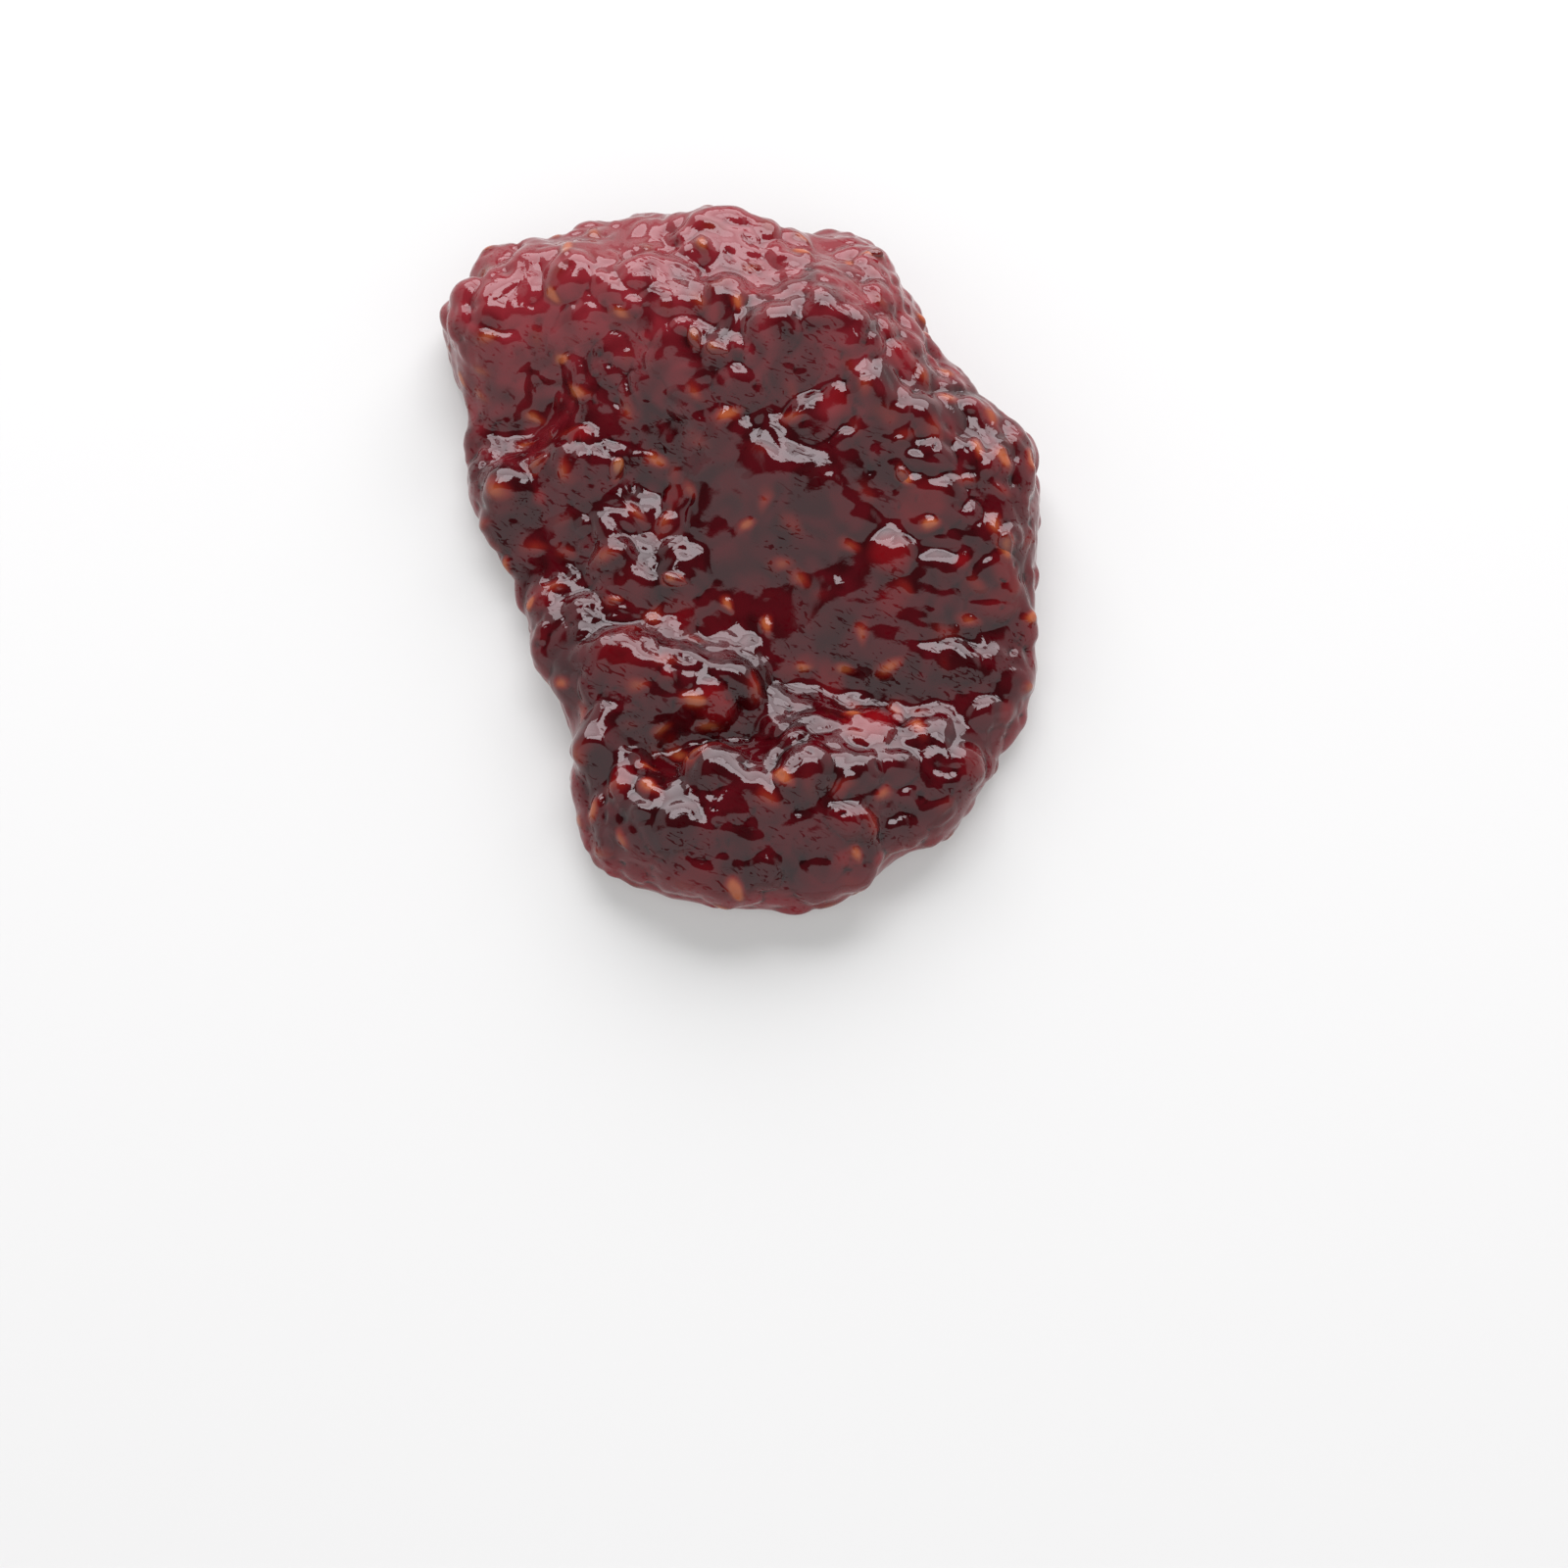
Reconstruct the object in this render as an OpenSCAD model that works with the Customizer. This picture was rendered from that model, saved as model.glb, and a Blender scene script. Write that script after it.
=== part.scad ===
// A dollop of seedy red-berry jam, spooned out onto a flat surface.
// One solid: a rounded wall round a lobed outline, a heap in the middle, folds and berry lumps.
// Origin at the bottom centre of its box, +Z up, front towards -Y. All sizes in millimetres.

/* [Dollop] */
// Width of the outline, side to side
dollop_w = 54; // [40:0.2:80]
// Depth of the outline, front to back
dollop_d = 67; // [48:0.5:95]
// Height of the jam at the top of its rounded wall
wall_h = 5.8; // [4.6:0.2:12]
// How far the top falls away towards its back edge
back_fall = 2.4; // [0:0.2:3]

/* [Wall] */
// Plan width of the rounded shoulder of the wall
shoulder_r = 5.6; // [3:0.2:8]
// Share by which that width swells and narrows round the dollop
shoulder_wave = 0.28; // [0:0.02:0.4]
// Height of the wall's widest line above the surface it lies on
belly_h = 2.2; // [1:0.1:4]
// How far the wall tucks in below its widest line
tuck_in = 0.9; // [0.2:0.1:2]

/* [Heap and folds] */
// Height of the middle heap above the jam round it
heap_h = 6.8; // [1:0.2:9]
// Share by which the heap is higher at its back right than at its front left
heap_lean = 0.55; // [0:0.05:0.8]
// Share by which it is higher at its back left end than at its front right end
heap_fall = 0.55; // [0:0.05:0.8]
// Length of the middle heap
heap_l = 46; // [25:1:60]
// Width of the middle heap
heap_w = 31; // [15:1:40]
// Height of the lobes along the front, back and sides
lobe_h = 2.9; // [0.5:0.1:4]
// Depth of the folds pressed in beside the heap
fold_depth = 1.9; // [0.3:0.1:3]
// Half width of those folds
fold_r = 2.1; // [1:0.1:5]
// Height of the slow swell that runs over the whole top
swell_h = 0.5; // [0:0.1:1.5]

/* [Berry lumps] */
// Number of lumps over the surface
lump_count = 160; // [20:1:200]
// Radius of the smallest lump
lump_r_min = 1.5; // [1:0.1:3]
// Radius of the largest lump
lump_r_max = 4.2; // [2:0.1:5]
// Height of a lump as a share of its radius
lump_rise = 0.36; // [0.1:0.01:0.5]
// Share by which the lumps are lower on the heap's smooth front slope
slope_calm = 0.75; // [0:0.05:1]

/* [Hidden] */

jam_colour = [0.36, 0.05, 0.07];
lump_seed = 8;

// Mesh rings: out over the top, down the shoulder and under the belly. Ring k of the top has
// 6 k points, which keeps its triangles nearly even, and every later ring has as many as the last.
top_rings = 22;
shoulder_rings = 7;
tuck_rings = 3;
sides = 6;
around = sides * top_rings;
rings = top_rings + shoulder_rings + tuck_rings;

// Corners of the lobed outline, as shares of its half width and half depth, anticlockwise
outline = [
    [0.97, -0.03], [0.97, 0.21], [0.82, 0.37], [0.63, 0.56], [0.53, 0.75], [0.38, 0.91],
    [0.10, 0.91], [-0.22, 0.96], [-0.60, 0.90], [-0.84, 0.83], [-1.00, 0.64], [-0.92, 0.39],
    [-0.92, 0.17], [-0.79, -0.01], [-0.66, -0.33], [-0.58, -0.53], [-0.52, -0.78],
    [-0.40, -0.93], [0.00, -1.01], [0.36, -0.96], [0.53, -0.85], [0.68, -0.81],
    [0.78, -0.67], [0.92, -0.40]
];

// The heap lies across the dollop, from back left to front right
heap_at = [0.27, 0.17];
heap_turn = -48;

// Where the top starts to fall away towards the back
back_line = [0, 0.50];

// The heap's smooth front slope, with the size as shares of the heap's own
slope_at = [0.20, -0.06];
slope_size = [0.38, 0.33];

// Lobes as [x share, y share, half length, half width, turn, height share]
lobes = [
    [-0.74, 0.66, 10, 8, 8, 1.00],
    [-0.04, 0.64, 20, 8, -3, 0.75],
    [-0.54, 0.30, 7, 3.5, 80, 0.40],
    [-0.36, -0.42, 8.5, 4.6, -8, 0.75],
    [0.08, -0.80, 15, 6.5, -4, 1.00],
    [0.72, -0.66, 6, 5, 60, 0.45],
    [0.86, 0.16, 9, 4, 75, 0.50]
];

// Folds as [depth share, points in the same shares]: down the heap's left side, round its
// front, across the front lobes, and behind the heap's right shoulder
folds = [
    [1.0, [[-0.66, 0.48], [-0.70, 0.28], [-0.66, 0.06], [-0.50, -0.14]]],
    [1.0, [[-0.50, -0.14], [-0.18, -0.28], [0.14, -0.40], [0.47, -0.47], [0.86, -0.54]]],
    [0.9, [[-0.60, -0.60], [-0.28, -0.62], [0.02, -0.57]]],
    [0.6, [[0.02, 0.66], [0.40, 0.54], [0.70, 0.22], [0.84, -0.12]]]
];

function sized(share) = [share[0] * dollop_w / 2, share[1] * dollop_d / 2];

// Catmull-Rom point between b and c, at t from 0 to 1
function spline(a, b, c, d, t) =
    0.5 * (2 * b + (c - a) * t + (2 * a - 5 * b + 4 * c - d) * t * t
        + (3 * b - a - 3 * c + d) * t * t * t);

// Point of the rim at a share of the way round it
function rim(turn) =
    let (n = len(outline), step = turn * n, k = floor(step))
    spline(sized(outline[(k + n - 1) % n]), sized(outline[k % n]),
        sized(outline[(k + 1) % n]), sized(outline[(k + 2) % n]), step - k);

// Plan width of the shoulder there
function shoulder_at(turn) =
    shoulder_r * (1 + shoulder_wave * (sin(3 * 360 * turn + 40) + sin(7 * 360 * turn)) / 2);

// Where p lies in an ellipse: [along, across] it, each 1 at its edge
function inside(p, at, half_l, half_w, turn) =
    let (d = p - at)
    [(d[0] * cos(turn) + d[1] * sin(turn)) / half_l,
        (d[1] * cos(turn) - d[0] * sin(turn)) / half_w];

// A bell: 1 at the middle of the ellipse, falling to 0 outside it, with a flatter top the larger
// flat is
function bell(where, flat = 1.7) = exp(-pow(where * where, flat));

// Distance from p to the straight stretch from a to b
function off_line(p, a, b) =
    let (t = max(0, min(1, (p - a) * (b - a) / ((b - a) * (b - a)))))
    norm(p - a - (b - a) * t);

// How deep p lies in the folds, from 0 to 1
function crease(p) =
    max([for (f = folds, k = [1 : len(f[1]) - 1])
        f[0] * exp(-pow(off_line(p, sized(f[1][k - 1]), sized(f[1][k])) / fold_r, 2))]);

function sum(list, i = 0, total = 0) = i == len(list) ? total : sum(list, i + 1, total + list[i]);

// Height of the jam's top at a plan point, before the lumps
function top_height(p) =
    let (heap = inside(p, sized(heap_at), heap_l / 2, heap_w / 2, heap_turn))
    wall_h
    + heap_h * bell(heap, 1.2) * (1 + heap_lean * heap[1]) * (1 - heap_fall * heap[0])
    + lobe_h * sum([for (l = lobes) l[5] * bell(inside(p, sized([l[0], l[1]]), l[2], l[3], l[4]))])
    + swell_h * (sin(21 * p[0] + 17 * p[1]) + sin(26 * p[1] - 14 * p[0] + 60))
    - fold_depth * crease(p)
    - back_fall * pow(max(0, p[1] / sized(back_line)[1] - 1), 1.3);

// A point of the smooth dollop and its outward direction, on a ring and part way round it
function smooth_point(ring, turn) =
    let (edge = rim(turn), n = edge / norm(edge), r = shoulder_at(turn), shoulder = edge - n * r)
    ring <= top_rings
        ? let (p = shoulder * ring / top_rings)
          [[p[0], p[1], top_height(p)], [0, 0, 1]]
    : ring <= top_rings + shoulder_rings
        ? let (a = 90 * (ring - top_rings) / shoulder_rings, p = shoulder + n * r * sin(a))
          [[p[0], p[1], belly_h + (top_height(shoulder) - belly_h) * cos(a)],
              [n[0] * sin(a), n[1] * sin(a), cos(a)]]
        : let (a = 90 * (ring - top_rings - shoulder_rings) / tuck_rings,
            p = edge - n * tuck_in * (1 - cos(a)))
          [[p[0], p[1], belly_h * (1 - sin(a))], [n[0], n[1], 0]];

// Lumps as [centre, radius], scattered over the smooth dollop
luck = rands(0, 1, lump_count * 3, lump_seed);
lumps = [
    for (k = [0 : lump_count - 1])
        let (ring = (rings - tuck_rings) * sqrt(luck[3 * k]))
        [smooth_point(ring, luck[3 * k + 1])[0],
            lump_r_min + (lump_r_max - lump_r_min) * pow(luck[3 * k + 2], 2)]
];

// What is left of the lumps' height at a plan point
function bumpiness(p) =
    1 - slope_calm * bell(inside(p, sized(slope_at), heap_l * slope_size[0],
        heap_w * slope_size[1], heap_turn));

// How far the lumps lift the surface at a point
function lift(p) =
    bumpiness([p[0], p[1]])
    * max([for (l = lumps)
        let (near = 1 - pow(norm(p - l[0]) / l[1], 2))
        near > 0 ? l[1] * lump_rise * pow(near, 0.8) : 0]);

// Nothing is lifted at the foot, so that it stays flat
function lumpy(s) = s[0] + s[1] * lift(s[0]) * min(1, s[0][2] / belly_h);

function ring_size(ring) = ring == 0 ? 1 : sides * min(ring, top_rings);

function ring_start(ring) =
    ring == 0 ? 0
    : ring <= top_rings ? 1 + sides * ring * (ring - 1) / 2
    : ring_start(top_rings) + (ring - top_rings) * around;

function at(ring, i) = ring_start(ring) + i % ring_size(ring);

points = [
    for (ring = [0 : rings], i = [0 : ring_size(ring) - 1])
        lumpy(smooth_point(ring, i / ring_size(ring)))
];

faces = concat(
    [for (k = [1 : top_rings], s = [0 : sides - 1], j = [0 : k - 1])
        [at(k, s * k + j), at(k - 1, s * (k - 1) + j), at(k, s * k + j + 1)]],
    [for (k = [2 : top_rings], s = [0 : sides - 1], j = [0 : k - 2])
        [at(k, s * k + j + 1), at(k - 1, s * (k - 1) + j), at(k - 1, s * (k - 1) + j + 1)]],
    [for (k = [top_rings : rings - 1], i = [0 : around - 1])
        [at(k, i), at(k, i + 1), at(k + 1, i + 1)]],
    [for (k = [top_rings : rings - 1], i = [0 : around - 1])
        [at(k, i), at(k + 1, i + 1), at(k + 1, i)]],
    [[for (i = [0 : around - 1]) at(rings, i)]]
);

// Middle of the points' box in plan, which becomes the origin
middle = [
    for (axis = [0, 1])
        (min([for (p = points) p[axis]]) + max([for (p = points) p[axis]])) / 2
];

module jam_dollop() {
    color(jam_colour)
        translate([-middle[0], -middle[1], 0])
            polyhedron(points = points, faces = faces, convexity = 6);
}

jam_dollop();
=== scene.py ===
import bpy
import bmesh
import math
import numpy as np
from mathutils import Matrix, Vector, kdtree, noise


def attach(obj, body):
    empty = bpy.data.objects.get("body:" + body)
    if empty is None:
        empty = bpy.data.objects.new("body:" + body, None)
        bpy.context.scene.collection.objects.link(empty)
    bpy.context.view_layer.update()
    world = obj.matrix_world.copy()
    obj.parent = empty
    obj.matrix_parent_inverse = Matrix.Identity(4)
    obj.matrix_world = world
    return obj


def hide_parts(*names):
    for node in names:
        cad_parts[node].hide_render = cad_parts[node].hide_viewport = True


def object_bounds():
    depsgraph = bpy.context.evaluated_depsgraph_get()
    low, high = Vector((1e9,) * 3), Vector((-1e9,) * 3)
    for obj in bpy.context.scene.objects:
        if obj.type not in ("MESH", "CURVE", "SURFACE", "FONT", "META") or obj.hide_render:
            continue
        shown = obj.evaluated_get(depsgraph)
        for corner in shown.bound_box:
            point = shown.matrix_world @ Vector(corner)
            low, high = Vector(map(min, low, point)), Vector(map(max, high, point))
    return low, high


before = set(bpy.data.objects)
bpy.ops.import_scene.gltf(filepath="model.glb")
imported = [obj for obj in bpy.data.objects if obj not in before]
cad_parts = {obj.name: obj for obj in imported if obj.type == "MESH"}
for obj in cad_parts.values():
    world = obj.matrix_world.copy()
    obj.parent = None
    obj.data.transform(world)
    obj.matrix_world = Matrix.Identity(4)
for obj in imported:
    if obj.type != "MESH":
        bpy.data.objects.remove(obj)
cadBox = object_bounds()
mm = 0.001
low = Vector(cadBox[0])
high = Vector(cadBox[1])
middle = (low + high) / 2
halfWidth = (high.x - low.x) / 2 / mm
halfDepth = (high.y - low.y) / 2 / mm
print("frame loaded, box in mm:", [round(v / mm, 2) for v in (high - low)])


# helpers for meshes, and for arrays of points, which are all in millimetres

def addObject(name, data):
    piece = bpy.data.objects.new(name, data)
    bpy.context.collection.objects.link(piece)
    return piece


def modified(piece):
    # the mesh that a piece's modifiers give
    return bpy.data.meshes.new_from_object(piece.evaluated_get(bpy.context.evaluated_depsgraph_get()))


def shadeSmooth(mesh):
    for polygon in mesh.polygons:
        polygon.use_smooth = True


def pointsOf(mesh):
    flat = np.empty(len(mesh.vertices) * 3)
    mesh.vertices.foreach_get("co", flat)
    return flat.reshape(-1, 3) / mm


def normalsOf(mesh):
    flat = np.empty(len(mesh.vertices) * 3)
    mesh.vertices.foreach_get("normal", flat)
    return flat.reshape(-1, 3)


def putPoints(mesh, points):
    mesh.vertices.foreach_set("co", (points * mm).ravel())
    mesh.update()


def putValues(mesh, name, values):
    layer = mesh.attributes.new(name, "FLOAT", "POINT")
    layer.data.foreach_set("value", values.astype(np.float32))


def treeOf(points):
    tree = kdtree.KDTree(len(points))
    for i, p in enumerate(points):
        tree.insert(p, i)
    tree.balance()
    return tree


def relax(mesh, values, rounds, share=0.5):
    # moves each value towards the mean of its neighbours
    edges = np.empty(len(mesh.edges) * 2, dtype=np.int64)
    mesh.edges.foreach_get("vertices", edges)
    a, b = edges.reshape(-1, 2).T
    count = np.bincount(a, minlength=len(values)) + np.bincount(b, minlength=len(values))
    columns = values.reshape(len(values), -1)
    for step in range(rounds):
        mean = np.stack([
            np.bincount(a, col[b], len(col)) + np.bincount(b, col[a], len(col))
            for col in columns.T
        ], axis=1) / count[:, None]
        columns = columns + (mean - columns) * share
    return columns.reshape(values.shape)


def between(ends, share):
    return ends[0] + (ends[1] - ends[0]) * share


def ramp(values, start, end):
    share = np.clip((values - start) / (end - start), 0, 1)
    return share * share * (3 - 2 * share)


def waves(points, size, seed):
    # smooth noise from -1 to 1, where size is its wavelength and the seed picks another stretch
    return np.array([noise.noise(p) for p in points / size + seed * 17.3])


def turned(points, degrees, stretch):
    # the points turned in plan and squeezed along the first axis, so that waves there are longer
    c, s = math.cos(math.radians(degrees)), math.sin(math.radians(degrees))
    along = (points[:, 0] * c + points[:, 1] * s) / stretch
    across = points[:, 1] * c - points[:, 0] * s
    return np.stack([along, across, points[:, 2]], axis=1)


def scatter(points, allowed, values, luck):
    # picks points at least a spacing apart
    chosen = []
    for i in luck.permutation(np.flatnonzero(allowed)):
        if len(chosen) == values["count"]:
            break
        apart = np.sum((points[chosen] - points[i]) ** 2, axis=1)
        if np.all(apart >= values["spacing"] ** 2):
            chosen.append(i)
    return chosen


def frameAt(normal, angle):
    # two directions along the surface, the first one at an angle in plan, and the way out of it
    n = Vector(normal)
    along = Vector((math.cos(angle), math.sin(angle), 0.15))    # tilted: no level normal equals it
    along = (along - n * along.dot(n)).normalized()
    return along, n.cross(along), n


def reachOf(surface, i, angle, halfLong, halfWide, margin=1.05):
    # the points round a spot, with how far along and across its ellipse each one lies
    points, normals, tree = surface
    along, across, out = frameAt(normals[i], angle)
    hits = np.array([k for _, k, _ in tree.find_range(points[i], halfLong * margin)])
    offset = points[hits] - points[i]
    return hits, offset @ np.array(along) / halfLong, offset @ np.array(across) / halfWide


def domes(surface, chosen, sizes, angles, soft):
    # height of many domes, each (half length, half width, rise); a larger soft gives rounder
    # creases between them
    total = np.ones(len(surface[0]))
    for i, (halfLong, halfWide, rise), angle in zip(chosen, sizes, angles):
        hits, u, v = reachOf(surface, i, angle, halfLong, halfWide)
        inside = 1 - u * u - v * v
        covered = hits[inside > 0]
        total[covered] += np.exp(rise * inside[inside > 0] ** 0.75 / soft) - 1
    return soft * np.log(total)


# berry lumps of all sizes, and where they are ripe

berryLumps = {
    "count": 400,
    "spacing": 1.7,
    "size": (0.8, 3.2),     # half length of the smallest and the largest
    "slim": (0.6, 1),       # width as a share of the length
    "rise": 0.38,           # height as a share of the half width
    "riseSpread": (0.6, 1.2),
    "soft": 0.12,
    "ripe": 0.22,           # share of the lumps that are clearer and redder
    "ripeEdge": 0.7,        # how far in from a lump's edge the ripeness fades
    "luck": 11,
}


def layLumps(surface, allowed):
    points = surface[0]
    luck = np.random.default_rng(berryLumps["luck"])
    chosen = scatter(points, allowed, berryLumps, luck)
    angles = luck.uniform(0, math.tau, len(chosen))
    sizes = []
    ripe = np.zeros(len(points))
    for i, angle in zip(chosen, angles):
        halfLong = between(berryLumps["size"], luck.random() ** 2)
        halfWide = halfLong * luck.uniform(*berryLumps["slim"])
        rise = halfWide * berryLumps["rise"] * luck.uniform(*berryLumps["riseSpread"])
        sizes.append((halfLong, halfWide, rise))
        if luck.random() < berryLumps["ripe"]:
            hits, u, v = reachOf(surface, i, angle, halfLong, halfWide)
            shade = ramp(1.1 - np.sqrt(u * u + v * v), 0, berryLumps["ripeEdge"]) * luck.random()
            ripe[hits] = np.maximum(ripe[hits], shade)
    return domes(surface, chosen, sizes, angles, berryLumps["soft"]), ripe


# seeds: each lifts the gel a little, and glows through it the more the shallower it lies

berrySeeds = {
    "count": 260,
    "spacing": 2.0,
    "length": 2.6,
    "width": 1.4,
    "thickness": 1.0,
    "sizeSpread": (0.75, 1.12),
    "lie": (-30, 50),       # bearing along which most of them lie, and how far they stray from it
    "cover": 0.34,          # how high the gel stands over a shallow one
    "soft": 0.08,
    "blunt": 0.3,           # how much blunter the glow is at one end
    "ragged": (0.8, 0.28),  # wavelength and strength of the waves along its edge
    "glowReach": (0.75, 1.20),      # how far the glow of the shallowest and the deepest one reaches
    "glowEdge": (2.6, 1.2),         # how sharp its edge is, for the same two
    "glowFade": 1.4,        # how fast it fades with depth
    "bare": 0.05,           # share of the seeds that may come through the gel
    "bareSlope": 0.7,       # they do so only where the normal is at least this upright
    "sunk": 0.55,           # depth of a bare seed's middle, as a share of its half thickness
    "sunkMore": 6,          # and how much that grows with its own depth
    "film": (0.02, 0.30),   # heights above the gel between which the film on a seed ends
    "luck": 23,
}


def laySeeds(surface, allowed):
    points = surface[0]
    luck = np.random.default_rng(berrySeeds["luck"])
    chosen = scatter(points, allowed, berrySeeds, luck)
    seeds = [
        {"at": i, "angle": math.radians(luck.normal(*berrySeeds["lie"])), "depth": luck.random(),
            "size": luck.uniform(*berrySeeds["sizeSpread"])}
        for i in chosen
    ]
    sizes = [
        (berrySeeds["length"] / 2 * s["size"], berrySeeds["width"] / 2 * s["size"],
            berrySeeds["cover"] * (1 - s["depth"]))
        for s in seeds
    ]
    rise = domes(surface, chosen, sizes, [s["angle"] for s in seeds], berrySeeds["soft"])
    glow = np.zeros(len(points))
    size, strength = berrySeeds["ragged"]
    ragged = 1 + strength * waves(points, size, 12)
    for s, (halfLong, halfWide, cover) in zip(seeds, sizes):
        hits, u, v = reachOf(surface, s["at"], s["angle"], halfLong, halfWide, 2)
        far = np.sqrt(u * u + (v * (1 + berrySeeds["blunt"] * u)) ** 2) * ragged[hits]
        reach = between(berrySeeds["glowReach"], s["depth"])
        edge = between(berrySeeds["glowEdge"], s["depth"])
        shade = np.exp(-(far / reach) ** edge) * (1 - s["depth"]) ** berrySeeds["glowFade"]
        glow[hits] = np.maximum(glow[hits], shade)
    return seeds, rise, glow


# small dents, along the way the jam was pulled

dents = {
    "count": 420,
    "spacing": 1.0,
    "size": (0.35, 1.1),
    "slim": (0.35, 0.8),
    "depth": 0.30,
    "depthSpread": (0.3, 1),
    "stray": 0.9,           # radians by which they stray from the pull
    "soft": 0.06,
    "luck": 31,
}


def layDents(surface, allowed):
    luck = np.random.default_rng(dents["luck"])
    chosen = scatter(surface[0], allowed, dents, luck)
    sizes = [
        (s, s * luck.uniform(*dents["slim"]), dents["depth"] * luck.uniform(*dents["depthSpread"]))
        for s in luck.uniform(*dents["size"], len(chosen))
    ]
    stray = luck.uniform(-dents["stray"], dents["stray"], len(chosen))
    angles = math.radians(jamSkin["pull"][0]) + stray
    return domes(surface, chosen, sizes, angles, dents["soft"])


# where the film lies smooth: place as shares of the half width and half depth, half length, half
# width, bearing, and how much of the relief it takes away

calmAreas = {
    "heapFront": (0.22, -0.13, 16, 9, -48, 0.80),
    "leftFurrow": (-0.64, 0.14, 11, 3.5, 97, 0.65),
    "cornerFront": (-0.86, 0.50, 6, 3.0, 5, 0.70),
    "frontBand": (-0.44, -0.52, 8, 2.0, -6, 0.70),
}


def calmAt(points):
    calm = np.zeros(len(points))
    for x, y, halfLong, halfWide, bearing, strength in calmAreas.values():
        place = turned(points - np.array([x * halfWidth, y * halfDepth, 0]), bearing, 1)
        far = (place[:, 0] / halfLong) ** 2 + (place[:, 1] / halfWide) ** 2
        calm = np.maximum(calm, strength * np.exp(-far ** 1.6))
    return calm


# what the gel's colour takes: soft clouds of pulp, which are its own, and painted light: a lighter,
# redder glow at the walls and towards the back, as if the lamps behind shone through the jam, and
# painted shade in the hollows

pulpAndPaintedLight = {
    "paintedBackLight": (0.30, 0.92),   # shares of the half depth between which the painted light from the back comes in
    "backLightSide": 0.20,           # how much sooner it does so at the sides
    "patches": (5, 0.12),       # wavelength and strength of the waves along that edge
    "flecks": (1.8, 0.30),      # and of the finer ones
    "glowMost": 0.92,
    "backWall": (0.40, 0.90),   # slopes between which the back turns into wall
    "backLess": 0.42,           # how much less painted glow that wall gets
    "clouds": (3.6, 0.30),      # wavelength and strength
    "threads": (1.5, 0.25),
    "hollow": 0.16,             # depth below its surroundings at which the painted shade in a hollow is darkest
    "hollowLess": 0.7,          # share by which the painted shade in hollows is weaker where the back is painted lit
}


# painted light: lighter towards the back, and sooner at the sides, where the lamps behind shine on
# the jam
def paintedBackLightOf(points, bent):
    size, strength = pulpAndPaintedLight["patches"]
    patchy = strength * waves(points, size, 9)
    size, strength = pulpAndPaintedLight["flecks"]
    patchy += strength * waves(bent, size, 10)
    side = pulpAndPaintedLight["backLightSide"] * np.abs(points[:, 0] / halfWidth)
    return ramp(points[:, 1] / halfDepth + side + patchy, *pulpAndPaintedLight["paintedBackLight"])


def pulpOf(points, bent):
    size, strength = pulpAndPaintedLight["clouds"]
    pulp = 0.5 + strength * waves(points, size, 7)
    size, strength = pulpAndPaintedLight["threads"]
    return pulp + strength * waves(bent, size, 8)


# the jam's skin

jamSkin = {
    "voxel": 1.02,          # first even mesh
    "softening": 2,         # rounds that take the facets off
    "foot": 0.3,            # height at which it is cut open before it is refined
    "rimSpacing": 0.2,      # points closer than this along the cut become one
    "refine": 2,            # subdivisions
    "footFade": 1.6,        # height above the cut over which the relief comes in
    "plainFoot": 1.2,       # no lump, seed or dent starts below this height
    "slopes": (-0.1, 0.8),  # how upright the normal is where the wall ends and where the top starts
    "wallRelief": 0.45,     # share of the relief that is left on the wall
    "swell": (5.5, 0.60),   # wavelength and height of the slow waves
    "folds": (2.8, 0.50),   # the same for the creased folds
    "pull": (-52, 1.9),     # bearing in plan along which the folds are drawn out, and how far
    "bend": (4, 1.6),       # wavelength and reach of the waves that bend them
    "crinkle": (1.0, 0.07),
    "calmLift": 0.4,        # share of a seed's lift that is left where the film lies smooth
    "calmCrinkle": 0.25,    # and of the crinkle
    "tension": 2,           # rounds of smoothing that stand for the gel's surface tension
}


def evenSkin(source):
    # an even copy of the CAD solid, open at the foot, fine enough for the relief
    draft = addObject("draft", source.data.copy())
    even = draft.modifiers.new("even", "REMESH")
    even.mode = "VOXEL"
    even.voxel_size = jamSkin["voxel"] * mm
    soften = draft.modifiers.new("soften", "SMOOTH")
    soften.iterations = jamSkin["softening"]
    mesh = modified(draft)
    bpy.data.objects.remove(draft)
    bm = bmesh.new()
    bm.from_mesh(mesh)
    bmesh.ops.bisect_plane(
        bm, geom=bm.verts[:] + bm.edges[:] + bm.faces[:], dist=1e-6,
        plane_co=(0, 0, jamSkin["foot"] * mm), plane_no=(0, 0, 1), clear_inner=True)
    rim = [v for v in bm.verts if v.is_boundary]
    bmesh.ops.remove_doubles(bm, verts=rim, dist=jamSkin["rimSpacing"] * mm)
    bm.to_mesh(mesh)
    bm.free()
    piece = addObject("jamSkin", mesh)
    fine = piece.modifiers.new("fine", "SUBSURF")
    fine.levels = fine.render_levels = jamSkin["refine"]
    refined = modified(piece)
    piece.modifiers.clear()
    piece.data = refined
    return piece


def closeFoot(piece):
    # brings the open edge down to the surface it lies on and closes the underside
    bm = bmesh.new()
    bm.from_mesh(piece.data)
    rim = [e for e in bm.edges if e.is_boundary]
    for v in {v for e in rim for v in e.verts}:
        v.co.z = 0
    bmesh.ops.holes_fill(bm, edges=rim, sides=0)
    bm.to_mesh(piece.data)
    bm.free()


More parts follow.
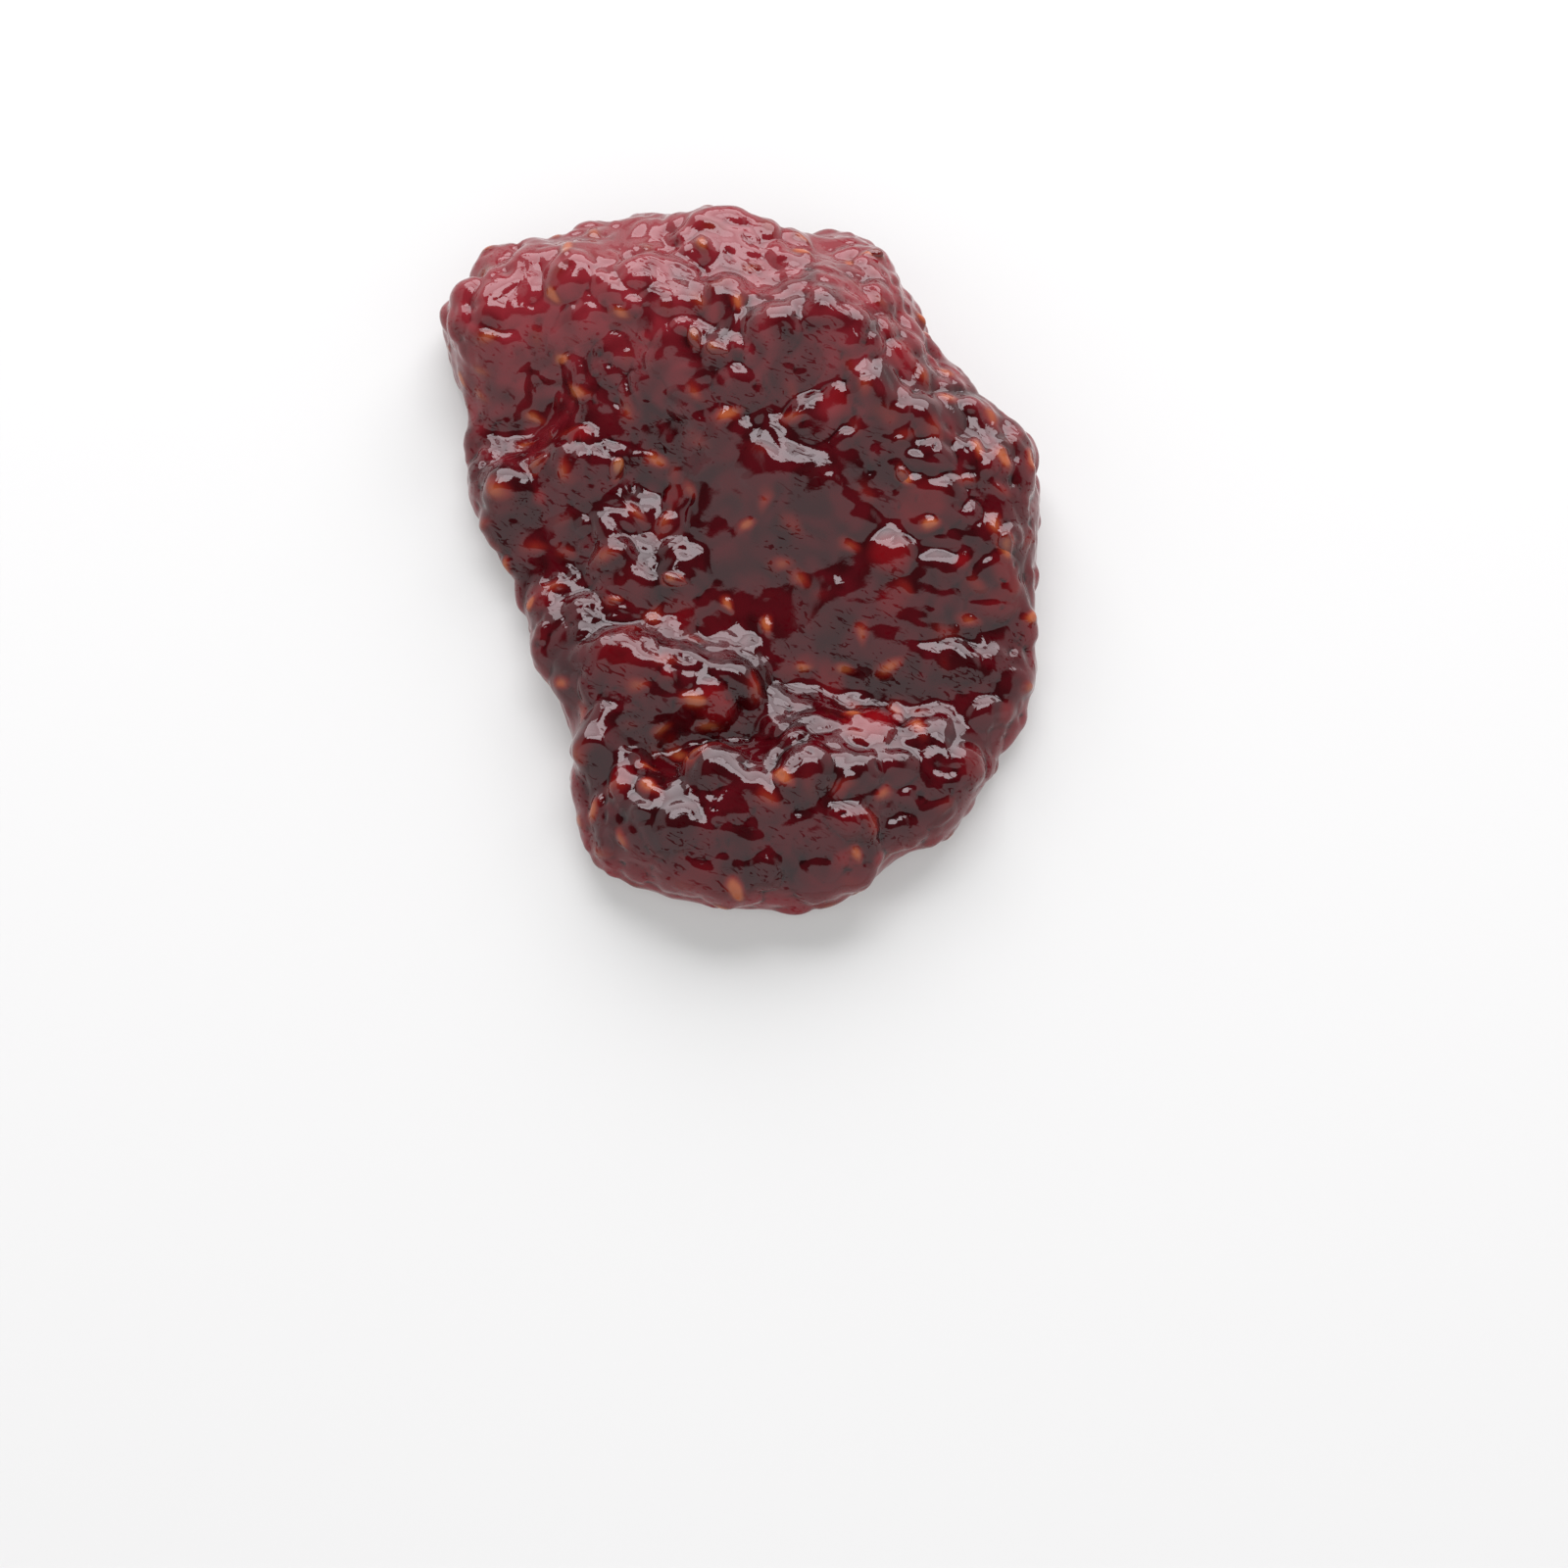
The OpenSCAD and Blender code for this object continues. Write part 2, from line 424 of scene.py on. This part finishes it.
def buildSkin(source):
    piece = evenSkin(source)
    mesh = piece.data
    points = pointsOf(mesh)
    normals = normalsOf(mesh)
    surface = (points, normals, treeOf(points))
    print("skin refined:", len(points), "points")
    upright = ramp(relax(mesh, normals[:, 2], 12), *jamSkin["slopes"])
    calm = calmAt(points)
    rough = (1 - calm) * between((jamSkin["wallRelief"], 1), upright)
    foot = np.clip((points[:, 2] - jamSkin["foot"]) / jamSkin["footFade"], 0, 1)
    allowed = points[:, 2] > jamSkin["plainFoot"]

    lumps, ripe = layLumps(surface, allowed)
    seeds, seedRise, glow = laySeeds(surface, allowed)
    hollow = layDents(surface, allowed)
    print("lumps, seeds and dents laid out")

    size, reach = jamSkin["bend"]
    bend = np.stack([waves(points, size, seed) for seed in (3, 4, 5)], axis=1)
    bent = points + bend * reach
    size, rise = jamSkin["swell"]
    height = waves(points, size, 1) * rise
    height += seedRise * between((jamSkin["calmLift"], 1), rough)
    height += lumps * (1 - calm) - hollow * rough
    size, rise = jamSkin["folds"]
    height += np.abs(waves(turned(bent, *jamSkin["pull"]), size, 2)) ** 0.8 * rise * rough
    raised = relax(mesh, points + normals * (height * foot)[:, None], jamSkin["tension"])
    size, rise = jamSkin["crinkle"]
    crinkle = waves(bent, size, 6) * rise * foot * between((jamSkin["calmCrinkle"], 1), rough)
    raised += normals * crinkle[:, None]
    raised[:, 2] = np.maximum(raised[:, 2], 0)
    putPoints(mesh, raised)

    # what the gel's material reads at each point
    finished = normalsOf(mesh)
    # painted light: a lighter, redder glow on the walls and towards the back, as if the lamps behind
    # shone through the jam, and less of it on walls that face the back
    paintedBackLight = paintedBackLightOf(points, bent)
    backWall = ramp(relax(mesh, finished[:, 1], 12), *pulpAndPaintedLight["backWall"])
    paintedGlowShare = np.maximum(1 - upright, paintedBackLight)
    paintedGlowShare *= pulpAndPaintedLight["glowMost"] - pulpAndPaintedLight["backLess"] * backWall
    # painted shade: darker where a point lies below its smoothed surroundings
    paintedHollowShade = ramp((relax(mesh, height, 8) - height) * foot, 0, pulpAndPaintedLight["hollow"])
    paintedHollowShade *= 1 - pulpAndPaintedLight["hollowLess"] * paintedBackLight
    putValues(mesh, "seedGlow", relax(mesh, glow, 1))
    putValues(mesh, "ripeness", relax(mesh, ripe, 2))
    putValues(mesh, "paintedGlowShare", paintedGlowShare)
    putValues(mesh, "pulp", pulpOf(points, bent))
    putValues(mesh, "paintedHollowShade", paintedHollowShade)

    for s in seeds:
        s["point"] = raised[s["at"]]
        s["normal"] = finished[s["at"]]
    closeFoot(piece)
    shadeSmooth(piece.data)
    print("skin finished:", len(piece.data.polygons), "faces")
    bareSeeds = [
        s for s in seeds
        if s["depth"] < berrySeeds["bare"] and s["normal"][2] > berrySeeds["bareSlope"]
    ]
    return piece, bareSeeds


# the seeds that come through the gel, in the sizes of all the others

bareSeed = {
    "taper": 0.30,          # how much slimmer it is at one end
    "waist": 0.12,          # and at both
    "curl": 0.16,
    "pits": (3.3, 0.10),    # how close together and how deep, for a seed of half length 1
    "lean": 0.2,            # radians by which it stands askew
}


def seedShape():
    # one seed along X with its ends at 1 and -1, blunt at one end and pitted
    bm = bmesh.new()
    bmesh.ops.create_icosphere(bm, subdivisions=3, radius=1)
    ball = [v.co.copy() for v in bm.verts]
    faces = [[v.index for v in f.verts] for f in bm.faces]
    bm.free()
    often, deep = bareSeed["pits"]
    places = []
    for p in ball:
        slim = 1 - bareSeed["taper"] * p.x - bareSeed["waist"] * p.x * p.x
        curl = bareSeed["curl"] * (p.x * p.x - 0.4)
        pit = 1 - deep * max(0, noise.noise(p * often + Vector((5, 1, 2))))
        places.append((p.x * pit, p.y * slim * pit + curl, p.z * slim * pit))
    return np.array(places), np.array(faces)


def buildSeeds(seeds):
    shape, faces = seedShape()
    luck = np.random.default_rng(berrySeeds["luck"] + 1)
    half = np.array([berrySeeds["length"], berrySeeds["width"], berrySeeds["thickness"]]) / 2
    lean = bareSeed["lean"]
    places, corners, tints, films = [], [], [], []
    for s in seeds:
        along, across, out = frameAt(s["normal"], s["angle"])
        up = out * math.cos(lean) + along * math.sin(luck.uniform(-lean, lean))
        side = up.cross(along).normalized()
        axes = np.array([side.cross(up).normalized(), side, up.normalized()])
        sunk = half[2] * s["size"] * (berrySeeds["sunk"] + s["depth"] * berrySeeds["sunkMore"])
        spread = (shape * half * s["size"]) @ axes
        corners.append(faces + len(places) * len(shape))
        places.append(s["point"] - np.array(s["normal"]) * sunk + spread)
        tints.append(np.full(len(shape), luck.random()))
        stands = spread @ np.array(s["normal"]) - sunk      # how far each point is out of the gel
        films.append(1 - ramp(stands, *berrySeeds["film"]))
    mesh = bpy.data.meshes.new("seeds")
    mesh.from_pydata((np.concatenate(places) * mm).tolist(), [], np.concatenate(corners).tolist())
    putValues(mesh, "tint", np.concatenate(tints))
    putValues(mesh, "film", np.concatenate(films))
    shadeSmooth(mesh)
    print("bare seeds:", len(seeds))
    return addObject("berrySeeds", mesh)


# helpers for materials

def newMaterial(name):
    material = bpy.data.materials.new(name)
    material.use_nodes = True
    return material, material.node_tree.nodes, material.node_tree.links


def attributeNode(nodes, name):
    node = nodes.new("ShaderNodeAttribute")
    node.attribute_name = name
    return node.outputs["Fac"]


def mixColour(nodes, links, share, a, b):
    # a and b are each a colour, or a socket that gives one
    node = nodes.new("ShaderNodeMix")
    node.data_type = "RGBA"
    links.new(share, node.inputs["Factor"])
    for value, socket in ((a, node.inputs[6]), (b, node.inputs[7])):
        if isinstance(value, tuple):
            socket.default_value = (*value, 1)
        else:
            links.new(value, socket)
    return node.outputs[2]


def rangeOf(nodes, links, value, start, end, lowOut=0.0, highOut=1.0):
    node = nodes.new("ShaderNodeMapRange")
    node.interpolation_type = "SMOOTHSTEP"
    links.new(value, node.inputs["Value"])
    node.inputs["From Min"].default_value = start
    node.inputs["From Max"].default_value = end
    node.inputs["To Min"].default_value = lowOut
    node.inputs["To Max"].default_value = highOut
    return node.outputs["Result"]


def combined(nodes, links, operation, a, b):
    node = nodes.new("ShaderNodeMath")
    node.operation = operation
    links.new(a, node.inputs[0])
    links.new(b, node.inputs[1])
    return node.outputs[0]


def noiseNode(nodes, links, place, detail, distortion):
    node = nodes.new("ShaderNodeTexNoise")
    links.new(place, node.inputs["Vector"])
    node.inputs["Scale"].default_value = 1
    node.inputs["Detail"].default_value = detail
    node.inputs["Distortion"].default_value = distortion
    return node.outputs["Fac"]


def placed(nodes, links, sizes, bearing=0):
    # object coordinates in units of a feature's own length, width and height
    mapping = nodes.new("ShaderNodeMapping")
    links.new(nodes.new("ShaderNodeTexCoord").outputs["Object"], mapping.inputs["Vector"])
    mapping.vector_type = "TEXTURE"
    mapping.inputs["Rotation"].default_value = (0, 0, math.radians(bearing))
    mapping.inputs["Scale"].default_value = [size * mm for size in sizes]
    return mapping.outputs["Vector"]


def bumped(nodes, links, height, rise):
    bump = nodes.new("ShaderNodeBump")
    bump.inputs["Distance"].default_value = rise * mm
    links.new(height, bump.inputs["Height"])
    return bump.outputs["Normal"]


# the gel

gel = {
    "deep": (0.021, 0.0008, 0.0016),
    "pulpy": (0.051, 0.0014, 0.0034),
    # painted shade in the hollows
    "hollow": (0.011, 0.0003, 0.0008),
    "ripe": (0.130, 0.0026, 0.0044),
    # painted glow at the walls and the back, as if the lamps behind shone through the jam
    "paintedGlow": (0.165, 0.0120, 0.0175),
    "halo": (0.115, 0.0065, 0.0048),
    "seed": (0.270, 0.0660, 0.0230),
    "pulpRange": (0.30, 0.68),  # amounts of pulp between which a cloud comes in
    "haloRange": (0.02, 0.35),  # strengths of a seed's glow between which its halo comes in
    "seedRange": (0.25, 0.80),  # and the seed itself
    "roughness": 0.04,
    "ior": 1.45,
    "grain": (0.60, 0.011),     # size and height of the finest unevenness
    "strokes": (1.5, 0.50),     # length and width of the fine strokes that break the gloss
    "strokeBearing": -28,
    "strokeRange": (0.60, 0.66),
    "strokeArea": 7.0,          # size of the areas where they gather
    "areaRange": (0.38, 0.52),
    "shine": (0.5, 0.08),       # specular level beside a stroke and on it
}


def gelColour(nodes, links):
    pulp = rangeOf(nodes, links, attributeNode(nodes, "pulp"), *gel["pulpRange"])
    body = mixColour(nodes, links, pulp, gel["deep"], gel["pulpy"])
    body = mixColour(nodes, links, attributeNode(nodes, "ripeness"), body, gel["ripe"])
    # painted light: the glow at the walls and the back
    body = mixColour(nodes, links, attributeNode(nodes, "paintedGlowShare"), body, gel["paintedGlow"])
    # painted shade in the hollows
    body = mixColour(nodes, links, attributeNode(nodes, "paintedHollowShade"), body, gel["hollow"])
    glow = attributeNode(nodes, "seedGlow")
    body = mixColour(nodes, links, rangeOf(nodes, links, glow, *gel["haloRange"]), body, gel["halo"])
    return mixColour(nodes, links, rangeOf(nodes, links, glow, *gel["seedRange"]), body, gel["seed"])


def gelShine(nodes, links):
    length, width = gel["strokes"]
    along = placed(nodes, links, (length, width, width), gel["strokeBearing"])
    strokes = rangeOf(nodes, links, noiseNode(nodes, links, along, 1, 1.6), *gel["strokeRange"])
    wide = placed(nodes, links, (gel["strokeArea"],) * 3)
    areas = rangeOf(nodes, links, noiseNode(nodes, links, wide, 1, 0), *gel["areaRange"])
    both = combined(nodes, links, "MULTIPLY", strokes, areas)
    return rangeOf(nodes, links, both, 0, 1, *gel["shine"])


def gelMaterial():
    material, nodes, links = newMaterial("berryGel")
    shader = nodes["Principled BSDF"]
    links.new(gelColour(nodes, links), shader.inputs["Base Color"])
    shader.inputs["Roughness"].default_value = gel["roughness"]
    shader.inputs["IOR"].default_value = gel["ior"]
    size, rise = gel["grain"]
    grain = noiseNode(nodes, links, placed(nodes, links, (size, size, size)), 2, 1.0)
    links.new(bumped(nodes, links, grain, rise), shader.inputs["Normal"])
    links.new(gelShine(nodes, links), shader.inputs["Specular IOR Level"])
    return material


# the bare seeds' husk, under what is left of the film

seedHusk = {
    "tan": (0.250, 0.080, 0.024),
    "reddish": (0.190, 0.036, 0.012),
    "film": (0.090, 0.0050, 0.0040),
    "roughness": 0.10,
    "grain": (0.3, 0.03),   # size and height of its unevenness
}


def seedMaterial():
    material, nodes, links = newMaterial("seedHusk")
    shader = nodes["Principled BSDF"]
    tint = attributeNode(nodes, "tint")
    colour = mixColour(nodes, links, tint, seedHusk["tan"], seedHusk["reddish"])
    colour = mixColour(nodes, links, attributeNode(nodes, "film"), colour, seedHusk["film"])
    links.new(colour, shader.inputs["Base Color"])
    shader.inputs["Roughness"].default_value = seedHusk["roughness"]
    size, rise = seedHusk["grain"]
    grain = noiseNode(nodes, links, placed(nodes, links, (size, size, size)), 2, 0.5)
    links.new(bumped(nodes, links, grain, rise), shader.inputs["Normal"])
    return material


# the floor

paleFloor = {
    "reach": 0.8,           # metres from the middle to each side
    "colour": (0.408, 0.4275, 0.412),
    "roughness": 0.6,
    "shine": 0.2,
    "glow": 0.22,           # a little light that comes through the floor
}


def buildFloor():
    reach = paleFloor["reach"]
    corners = [(x * reach, y * reach, low.z) for x, y in ((-1, -1), (1, -1), (1, 1), (-1, 1))]
    mesh = bpy.data.meshes.new("floor")
    mesh.from_pydata(corners, [], [(0, 1, 2, 3)])
    material, nodes, links = newMaterial("paleFloor")
    shader = nodes["Principled BSDF"]
    shader.inputs["Base Color"].default_value = (*paleFloor["colour"], 1)
    shader.inputs["Roughness"].default_value = paleFloor["roughness"]
    shader.inputs["Specular IOR Level"].default_value = paleFloor["shine"]
    shader.inputs["Emission Color"].default_value = (1, 1, 1, 1)
    shader.inputs["Emission Strength"].default_value = paleFloor["glow"]
    mesh.materials.append(material)
    return addObject("floor", mesh)


# the light panels behind the jam: height above the floor and bearing from the back, both angles,
# then distance, width and height in metres, and brightness

panels = {
    "tint": (1.0, 0.935, 0.985),
    "highPanel": (58, 4, 0.80, 0.68, 0.25, 8.0),
    "lowPanel": (30, 4, 0.85, 1.25, 0.60, 4.8),
}


def buildPanel(name, elevation, bearing, distance, width, height, glow):
    light = bpy.data.lights.new(name, "AREA")
    light.shape = "RECTANGLE"
    light.size = width
    light.size_y = height
    light.energy = glow * math.pi * width * height      # looks as bright at any size
    light.color = panels["tint"]
    panel = addObject(name, light)
    up, sideways = math.radians(elevation), math.radians(bearing)
    towards = Vector((
        math.sin(sideways) * math.cos(up), math.cos(sideways) * math.cos(up), math.sin(up)))
    panel.location = Vector((middle.x, middle.y, low.z)) + towards * distance
    panel.rotation_euler = towards.to_track_quat("Z", "Y").to_euler()
    panel.visible_camera = False


# the room's own light, by direction

room = {
    "tint": (1.0, 0.97, 0.995),
    "front": 1.25,                  # brightness in front
    "behind": 0.09,                 # and from overhead to the back
    "frontEdge": (-0.18, -0.05),    # directions in Y between which the one turns into the other
    "sides": 0.95,                  # brightness all round, low down
    "sidesEdge": (0.55, 0.75),      # directions in Z between which it ends
    "seen": 0.95,                   # what the eye meets beyond the floor
}


def buildWorld():
    world = bpy.data.worlds.new("room")
    bpy.context.scene.world = world
    world.use_nodes = True
    nodes, links = world.node_tree.nodes, world.node_tree.links
    background = nodes["Background"]
    split = nodes.new("ShaderNodeSeparateXYZ")
    links.new(nodes.new("ShaderNodeTexCoord").outputs["Generated"], split.inputs["Vector"])
    edge = room["frontEdge"]
    front = rangeOf(nodes, links, split.outputs["Y"], *edge, room["front"], room["behind"])
    edge = room["sidesEdge"]
    sides = rangeOf(nodes, links, split.outputs["Z"], *edge, room["sides"], 0)
    seen = nodes.new("ShaderNodeMix")
    links.new(nodes.new("ShaderNodeLightPath").outputs["Is Camera Ray"], seen.inputs["Factor"])
    links.new(combined(nodes, links, "MAXIMUM", front, sides), seen.inputs[2])
    seen.inputs[3].default_value = room["seen"]
    links.new(seen.outputs[0], background.inputs["Strength"])
    background.inputs["Color"].default_value = (*room["tint"], 1)


# the camera

view = {
    "elevation": 68,
    "distance": 0.6,        # metres
    "frameWidth": 139.1,    # millimetres across at the aim
    "aim": (4.1, -20.4),    # middle of the frame on the floor, from the jam's middle
}


def buildCamera():
    camera = addObject("camera", bpy.data.cameras.new("camera"))
    camera.data.lens = camera.data.sensor_width * view["distance"] / (view["frameWidth"] * mm)
    camera.data.clip_start = 0.01
    angle = math.radians(view["elevation"])
    back = Vector((0, -math.cos(angle), math.sin(angle)))
    aim = Vector((middle.x + view["aim"][0] * mm, middle.y + view["aim"][1] * mm, low.z))
    camera.location = aim + back * view["distance"]
    camera.rotation_euler = (-back).to_track_quat("-Z", "Y").to_euler()
    bpy.context.scene.camera = camera


buildCamera()
floor = buildFloor()
for name in ("highPanel", "lowPanel"):
    buildPanel(name, *panels[name])
buildWorld()
bpy.context.scene.view_settings.view_transform = "Standard"
print("studio ready")

skin, bareSeeds = buildSkin(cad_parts["jam_dollop"])
skin.data.materials.clear()
skin.data.materials.append(gelMaterial())
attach(skin, "root")
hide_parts("jam_dollop")

seeds = buildSeeds(bareSeeds)
seeds.data.materials.append(seedMaterial())
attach(seeds, "root")
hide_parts("jam_dollop")

print("scene finished")
